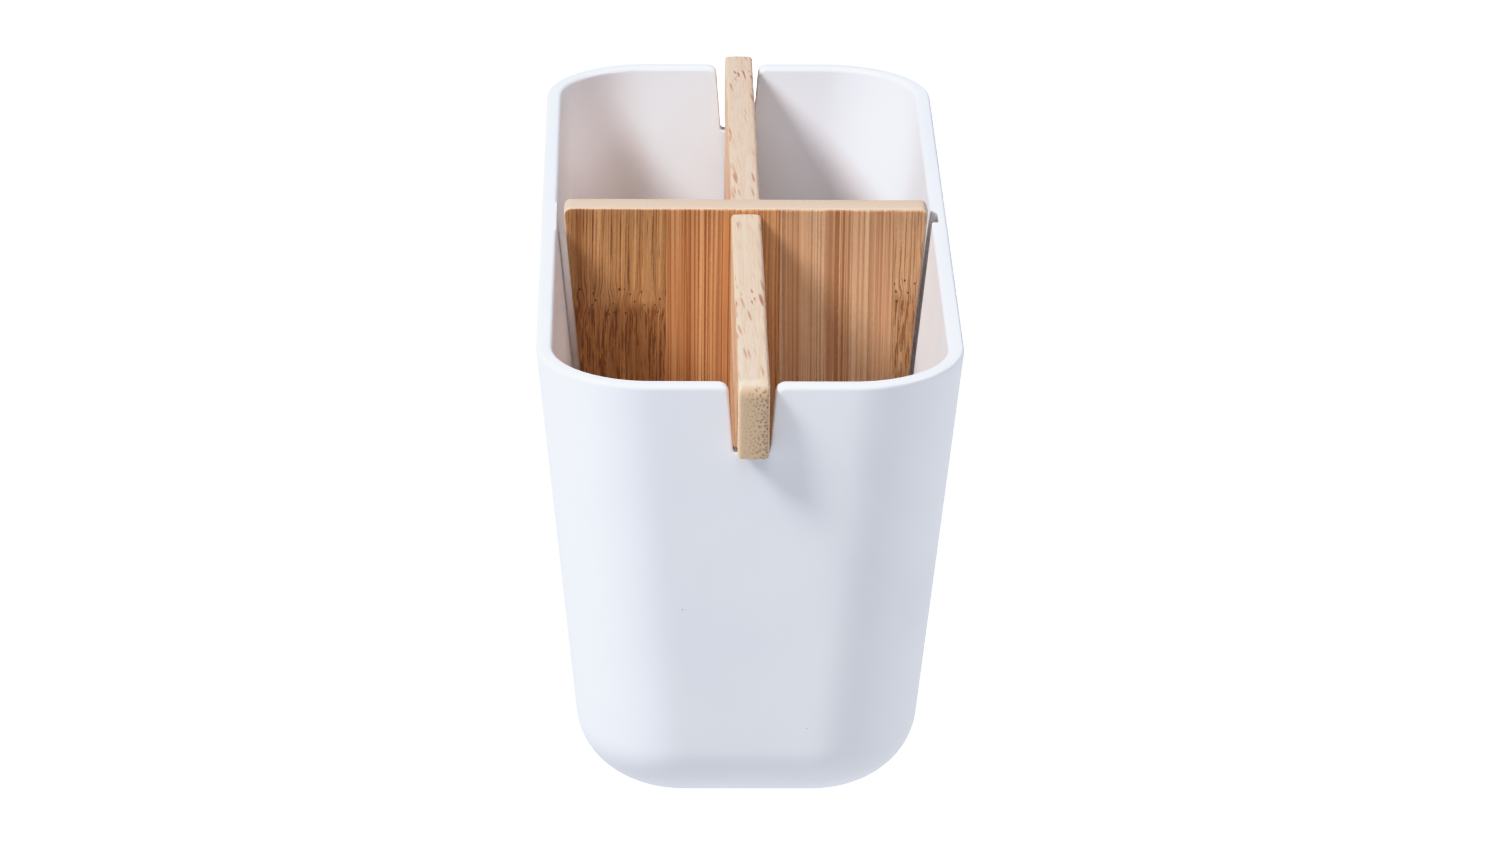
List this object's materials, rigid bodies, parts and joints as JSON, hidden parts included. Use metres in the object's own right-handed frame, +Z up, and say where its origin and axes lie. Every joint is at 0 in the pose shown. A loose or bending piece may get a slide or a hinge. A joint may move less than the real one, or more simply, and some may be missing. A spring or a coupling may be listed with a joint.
{
  "type": "pen holder",
  "caption": "Long open desk cup with leaning walls and rounded corners, split into compartments by two crossed bamboo boards that lift out.",
  "frame": {"origin": "middle of the footprint, on the surface that the cup stands on", "axes": "+X across the cup, +Y along its long side, +Z up; the end with the pictured notch face is at -Y"},
  "size_m": [0.0818, 0.2004, 0.0947],
  "materials": {
    "moulded_white": "satin, sparse fine brown specks",
    "bamboo_cross": "sanded and oiled bamboo, grain upright",
    "bamboo_long": "sanded and oiled bamboo, grain lengthways"
  },
  "bodies": {
    "cup": {"cup_shell": "moulded_white"},
    "long_divider": {"long_top_strip_front": "bamboo_long", "long_top_strip_rear": "bamboo_long", "long_upper_strip_front": "bamboo_long", "long_upper_strip_rear": "bamboo_long", "long_lower_strip": "bamboo_long", "long_foot_strip": "bamboo_long"},
    "cross_divider": {"cross_strip_left": "bamboo_cross", "cross_strip_slotted": "bamboo_cross", "cross_strip_right": "bamboo_cross", "cross_strip_end": "bamboo_cross"}
  },
  "joints": [
    {"name": "long_divider_lift", "type": "slide", "parent": "cup", "child": "long_divider", "axis": [0, 0, 1], "range_m": [0, 0.1]},
    {"name": "cross_divider_lift", "type": "slide", "parent": "long_divider", "child": "cross_divider", "axis": [0, 0, 1], "range_m": [0, 0.1]}
  ]
}
